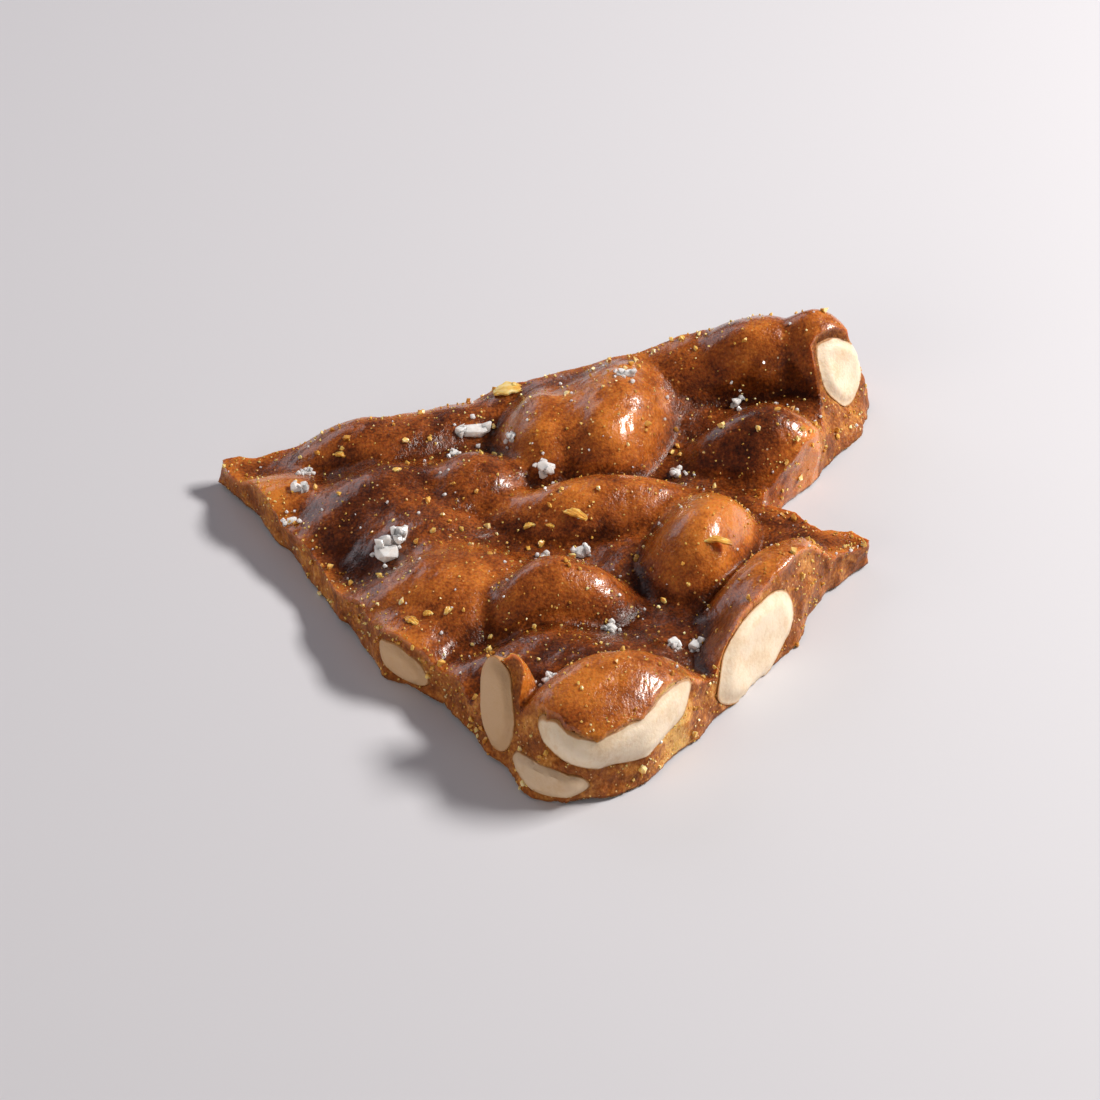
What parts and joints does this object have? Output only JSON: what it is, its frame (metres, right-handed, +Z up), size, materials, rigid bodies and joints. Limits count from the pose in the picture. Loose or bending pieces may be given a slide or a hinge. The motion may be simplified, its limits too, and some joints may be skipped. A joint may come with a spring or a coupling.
{
  "type": "nut brittle piece",
  "caption": "Broken slab of glossy brown nut brittle, lumpy with coated nuts on top, flat underneath, with cut nuts in its rough edges and salt flakes on it.",
  "frame": {"origin": "the middle of the outline, at the flat underside that the piece lies on", "axes": "+Z up out of the lumpy top, +X to the right and +Y to the back as the piece is seen from its broken front corner"},
  "size_m": [0.0667, 0.0682, 0.0115],
  "materials": {
    "toffee": "glossy, slightly translucent brown toffee with a rough broken edge",
    "cut_nut": "matt cream inside of a roasted nut",
    "salt": "translucent white salt crystals",
    "golden_crisp": "thin crisp golden flakes of toffee"
  },
  "bodies": {
    "root": {"brittle_slab": "toffee", "nut_right": "cut_nut", "nut_corner": "cut_nut", "nut_upright": "cut_nut", "nut_front_low": "cut_nut", "nut_left": "cut_nut", "nut_top_right": "cut_nut", "nut_back_left": "cut_nut", "nut_back_middle": "cut_nut", "nut_back_right": "cut_nut"}
  },
  "joints": []
}
